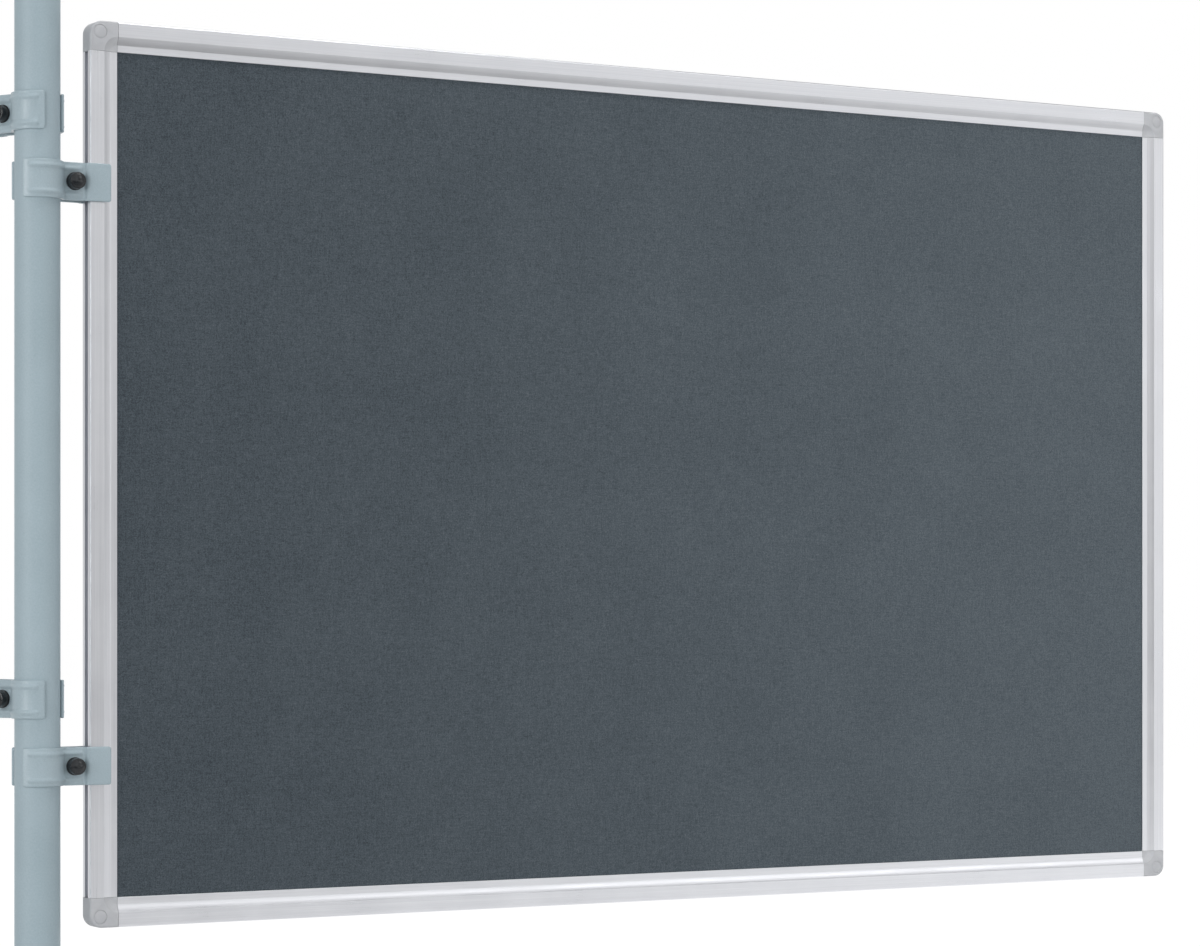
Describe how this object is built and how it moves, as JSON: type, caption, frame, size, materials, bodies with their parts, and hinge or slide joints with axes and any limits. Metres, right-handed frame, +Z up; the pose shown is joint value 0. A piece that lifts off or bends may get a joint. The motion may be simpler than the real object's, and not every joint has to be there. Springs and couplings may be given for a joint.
{
  "type": "presentation board",
  "caption": "Framed felt pin board clamped by its edge to a round steel pole, with spare clamps above for a neighbouring board.",
  "frame": {"origin": "centre of the pole's lower end", "axes": "+Z up along the pole, +X from the pole along the board, -Y out of the board's front"},
  "size_m": [1.6108, 0.1074, 1.1533],
  "materials": {
    "coated_steel": "blue-grey powder coat, satin, fine orange peel",
    "anodised": "natural anodised, satin, fine lines along the profile",
    "felt": "slate-grey needled felt, matt",
    "fibreboard": "soft fibreboard, raw",
    "corner_plastic": "light grey moulded plastic, satin",
    "black_plastic": "black moulded plastic, semi-gloss",
    "zinc_plate": "bright zinc plated steel",
    "black_steel": "black oxide steel, semi-gloss"
  },
  "bodies": {
    "pole": {"pole": "coated_steel", "pole_top_cap": "black_plastic"},
    "board": {"board_core": "fibreboard", "front_felt": "felt", "back_felt": "felt", "frame_left": "anodised", "frame_right": "anodised", "frame_top": "anodised", "frame_bottom": "anodised", "corner_top_left": "corner_plastic", "corner_top_right": "corner_plastic", "corner_bottom_left": "corner_plastic", "corner_bottom_right": "corner_plastic", "plug_front_top_left": "corner_plastic", "plug_front_top_right": "corner_plastic", "plug_front_bottom_left": "corner_plastic", "plug_front_bottom_right": "corner_plastic", "plug_back_top_left": "corner_plastic", "plug_back_top_right": "corner_plastic", "plug_back_bottom_left": "corner_plastic", "plug_back_bottom_right": "corner_plastic", "right_lower_back_jaw": "coated_steel", "right_lower_nut": "zinc_plate", "right_upper_back_jaw": "coated_steel", "right_upper_nut": "zinc_plate"},
    "right_lower_jaw": {"right_lower_front_jaw": "coated_steel", "right_lower_washer": "black_steel"},
    "right_lower_screw": {"right_lower_screw": "zinc_plate", "right_lower_screw_cap": "black_plastic"},
    "right_upper_jaw": {"right_upper_front_jaw": "coated_steel", "right_upper_washer": "black_steel"},
    "right_upper_screw": {"right_upper_screw": "zinc_plate", "right_upper_screw_cap": "black_plastic"},
    "left_lower_clamp": {"left_lower_back_jaw": "coated_steel", "left_lower_nut": "zinc_plate"},
    "left_lower_jaw": {"left_lower_front_jaw": "coated_steel", "left_lower_washer": "black_steel"},
    "left_lower_screw": {"left_lower_screw": "zinc_plate", "left_lower_screw_cap": "black_plastic"},
    "left_upper_clamp": {"left_upper_back_jaw": "coated_steel", "left_upper_nut": "zinc_plate"},
    "left_upper_jaw": {"left_upper_front_jaw": "coated_steel", "left_upper_washer": "black_steel"},
    "left_upper_screw": {"left_upper_screw": "zinc_plate", "left_upper_screw_cap": "black_plastic"}
  },
  "joints": [
    {"name": "board_swing", "type": "hinge", "parent": "pole", "child": "board", "pos_m": [0, 0, 0.57], "axis": [0, 0, 1], "range_deg": [-90, 30]},
    {"name": "left_lower_swing", "type": "hinge", "parent": "pole", "child": "left_lower_clamp", "pos_m": [0, 0, 0.323], "axis": [0, 0, 1], "range_deg": [-30, 90]},
    {"name": "left_upper_swing", "type": "hinge", "parent": "pole", "child": "left_upper_clamp", "pos_m": [0, 0, 0.965], "axis": [0, 0, 1], "range_deg": [-30, 90]},
    {"name": "right_lower_jaw_slide", "type": "slide", "parent": "board", "child": "right_lower_jaw", "axis": [0, -1, 0], "range_m": [0, 0.005]},
    {"name": "right_lower_screw_turn", "type": "hinge", "parent": "right_lower_jaw", "child": "right_lower_screw", "pos_m": [0.0389, 0, 0.249], "axis": [0, -1, 0], "range_deg": [0, 1440]},
    {"name": "right_upper_jaw_slide", "type": "slide", "parent": "board", "child": "right_upper_jaw", "axis": [0, -1, 0], "range_m": [0, 0.005]},
    {"name": "right_upper_screw_turn", "type": "hinge", "parent": "right_upper_jaw", "child": "right_upper_screw", "pos_m": [0.0389, 0, 0.891], "axis": [0, -1, 0], "range_deg": [0, 1440]},
    {"name": "left_lower_jaw_slide", "type": "slide", "parent": "left_lower_clamp", "child": "left_lower_jaw", "axis": [-0.866, -0.5, 0], "range_m": [0, 0.005]},
    {"name": "left_lower_screw_turn", "type": "hinge", "parent": "left_lower_jaw", "child": "left_lower_screw", "pos_m": [-0.01945, 0.03369, 0.323], "axis": [-0.866, -0.5, 0], "range_deg": [0, 1440]},
    {"name": "left_upper_jaw_slide", "type": "slide", "parent": "left_upper_clamp", "child": "left_upper_jaw", "axis": [-0.866, -0.5, 0], "range_m": [0, 0.005]},
    {"name": "left_upper_screw_turn", "type": "hinge", "parent": "left_upper_jaw", "child": "left_upper_screw", "pos_m": [-0.01945, 0.03369, 0.965], "axis": [-0.866, -0.5, 0], "range_deg": [0, 1440]}
  ],
  "couplings": [
    {"joint": "right_lower_screw_turn", "follows": "right_lower_jaw_slide", "rad_per_m": 5026.5},
    {"joint": "right_upper_screw_turn", "follows": "right_upper_jaw_slide", "rad_per_m": 5026.5},
    {"joint": "left_lower_screw_turn", "follows": "left_lower_jaw_slide", "rad_per_m": 5026.5},
    {"joint": "left_upper_screw_turn", "follows": "left_upper_jaw_slide", "rad_per_m": 5026.5}
  ]
}
